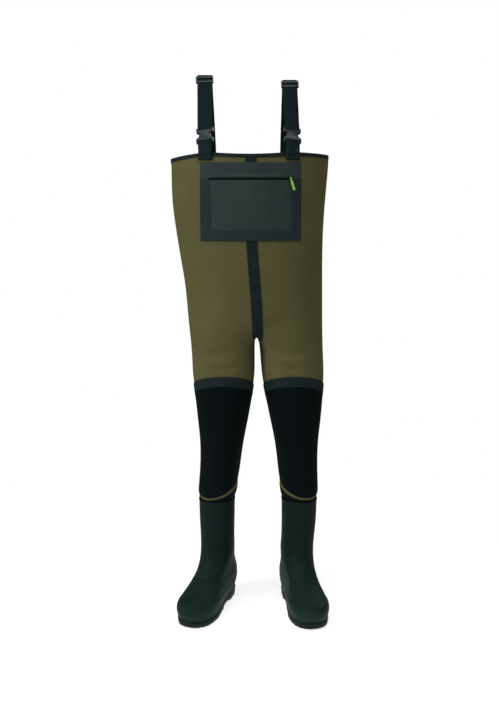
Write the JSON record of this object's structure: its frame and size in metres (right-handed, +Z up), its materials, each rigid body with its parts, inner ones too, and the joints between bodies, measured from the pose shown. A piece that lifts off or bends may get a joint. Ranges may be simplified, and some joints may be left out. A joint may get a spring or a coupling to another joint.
{
  "type": "neoprene chest wader",
  "caption": "Chest-high neoprene wader with rubber boots, knee panels, zipped chest pocket and buckled elastic braces, standing empty.",
  "frame": {"origin": "on the floor under the middle of the whole garment's box, soles on z = 0", "axes": "+Z up the garment, -Y the way the chest faces, +X towards the wearer's left"},
  "size_m": [0.4468, 0.35, 1.5201],
  "materials": {
    "neoprene": "olive knitted jersey over neoprene foam, matt",
    "tape": "blackish green stretch tape, matt",
    "pocket_cloth": "dark slate green coated cloth, fine grain",
    "knee_cloth": "near-black reinforced cloth, fine grain",
    "boot_rubber": "dark green moulded rubber, soft sheen",
    "sole_rubber": "blackish green cleated rubber, matt",
    "insole_felt": "grey felt",
    "webbing": "ribbed elastic webbing",
    "buckle": "bluish black moulded plastic, satin",
    "slider": "black painted metal",
    "pull": "yellow-green moulded plastic"
  },
  "bodies": {
    "wader": {"neoprene_body": "neoprene", "top_binding": "tape", "centre_tape": "tape", "tape_top": "tape", "pocket_panel": "pocket_cloth", "pocket_frame": "pocket_cloth", "zip_tape": "pocket_cloth", "zip_slider": "slider", "knee_panel_left": "knee_cloth", "knee_panel_right": "knee_cloth", "knee_band_left": "tape", "knee_band_right": "tape", "cuff_tape_left": "tape", "cuff_tape_right": "tape", "boot_upper_left": "boot_rubber", "boot_upper_right": "boot_rubber", "outsole_left": "sole_rubber", "outsole_right": "sole_rubber", "insole_left": "insole_felt", "insole_right": "insole_felt", "front_tab_left": "webbing", "front_tab_right": "webbing", "buckle_socket_left": "buckle", "buckle_socket_right": "buckle", "buckle_prong_left": "buckle", "buckle_prong_right": "buckle", "brace_left": "webbing", "brace_right": "webbing", "slide_adjuster_left": "buckle", "slide_adjuster_right": "buckle", "back_patch_left": "tape", "back_patch_right": "tape"},
    "zip_pull": {"zip_pull": "pull"}
  },
  "joints": [
    {"name": "zip_pull_swing", "type": "hinge", "parent": "wader", "child": "zip_pull", "pos_m": [0.10609, -0.09411, 1.237], "axis": [-0.9722, -0.2339, 0], "range_deg": [0, 150]}
  ]
}
